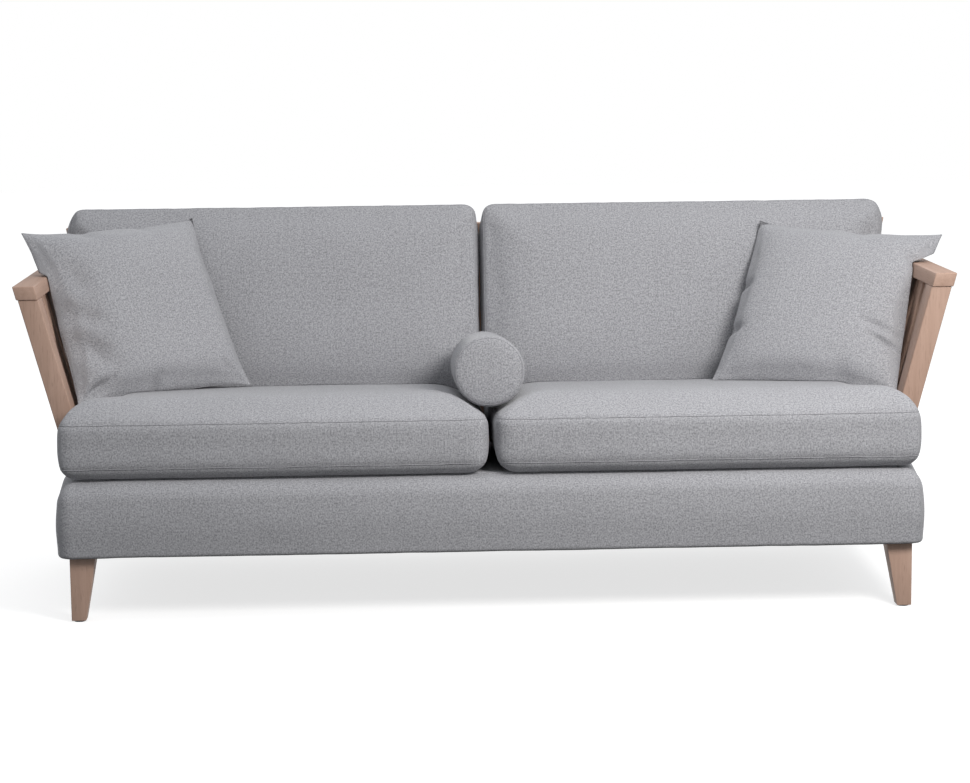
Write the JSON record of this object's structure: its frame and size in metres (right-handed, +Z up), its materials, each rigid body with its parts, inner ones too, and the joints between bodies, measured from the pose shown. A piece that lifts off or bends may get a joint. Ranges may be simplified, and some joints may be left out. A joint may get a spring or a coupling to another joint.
{
  "type": "sofa",
  "caption": "Three-seat sofa with an upholstered base, splayed slatted wooden arms, a slatted back, tapered wooden legs, loose seat and back cushions, throw pillows and a neck roll.",
  "frame": {"origin": "on the floor, at the middle of the sofa's width and of its overall depth", "axes": "+X along the width to the right as seen from the front, +Y from front to back, +Z up"},
  "size_m": [2.0594, 0.8936, 0.8318],
  "materials": {
    "soaped_wood": "white-soaped matt",
    "frame_wood": "planed, unfinished",
    "webbing": "elastic webbing",
    "grey_fabric": "woven melange",
    "cushion_fabric": "woven melange",
    "zinc_steel": "zinc plated",
    "black_cloth": "spunbonded",
    "glide_plastic": "matt"
  },
  "bodies": {
    "root_frame": {"front_left_leg": "soaped_wood", "front_right_leg": "soaped_wood", "back_left_leg": "soaped_wood", "back_right_leg": "soaped_wood", "left_arm_sill": "soaped_wood", "left_front_post": "soaped_wood", "left_arm_slats": "soaped_wood", "left_arm_rail": "soaped_wood", "right_arm_sill": "soaped_wood", "right_front_post": "soaped_wood", "right_arm_slats": "soaped_wood", "right_arm_rail": "soaped_wood", "left_back_post": "soaped_wood", "centre_back_post": "soaped_wood", "right_back_post": "soaped_wood", "back_bottom_rail": "soaped_wood", "back_top_rail": "soaped_wood", "left_back_slats": "soaped_wood", "right_back_slats": "soaped_wood", "front_base_rail": "frame_wood", "back_base_rail": "frame_wood", "left_base_rail": "frame_wood", "right_base_rail": "frame_wood", "centre_base_rail": "frame_wood", "corner_blocks": "frame_wood", "front_webbing_batten": "frame_wood", "back_webbing_batten": "frame_wood", "side_webbing_battens": "frame_wood", "lengthwise_webbing": "webbing", "crosswise_webbing": "webbing", "front_base_upholstery": "grey_fabric", "back_base_upholstery": "grey_fabric", "left_base_upholstery": "grey_fabric", "right_base_upholstery": "grey_fabric", "deck_cloth": "grey_fabric", "leg_plates": "zinc_steel", "leg_bolts": "zinc_steel", "arm_bolts": "zinc_steel", "back_bolts": "zinc_steel", "dust_cover": "black_cloth", "foot_glides": "glide_plastic"},
    "left_seat_cushion": {"left_seat_cushion": "cushion_fabric"},
    "right_seat_cushion": {"right_seat_cushion": "cushion_fabric"},
    "left_back_cushion": {"left_back_cushion": "cushion_fabric"},
    "right_back_cushion": {"right_back_cushion": "cushion_fabric"},
    "left_pillow_cushion": {"left_throw_pillow": "cushion_fabric"},
    "right_pillow_cushion": {"right_throw_pillow": "cushion_fabric"},
    "neck_roll_body": {"neck_roll": "cushion_fabric"}
  },
  "joints": [
    {"name": "left_seat_slide", "type": "slide", "parent": "root_frame", "child": "left_seat_cushion", "axis": [0, -0.9976, 0.0698], "range_m": [0, 0.22]},
    {"name": "right_seat_slide", "type": "slide", "parent": "root_frame", "child": "right_seat_cushion", "axis": [0, -0.9976, 0.0698], "range_m": [0, 0.22]},
    {"name": "left_back_lift", "type": "slide", "parent": "root_frame", "child": "left_back_cushion", "axis": [0, 0.2756, 0.9613], "range_m": [0, 0.25]},
    {"name": "right_back_lift", "type": "slide", "parent": "root_frame", "child": "right_back_cushion", "axis": [0, 0.2756, 0.9613], "range_m": [0, 0.25]},
    {"name": "left_pillow_lift", "type": "slide", "parent": "root_frame", "child": "left_pillow_cushion", "axis": [0, 0, 1], "range_m": [0, 0.3]},
    {"name": "right_pillow_lift", "type": "slide", "parent": "root_frame", "child": "right_pillow_cushion", "axis": [0, 0, 1], "range_m": [0, 0.3]},
    {"name": "neck_roll_lift", "type": "slide", "parent": "root_frame", "child": "neck_roll_body", "axis": [0, 0, 1], "range_m": [0, 0.3]}
  ]
}
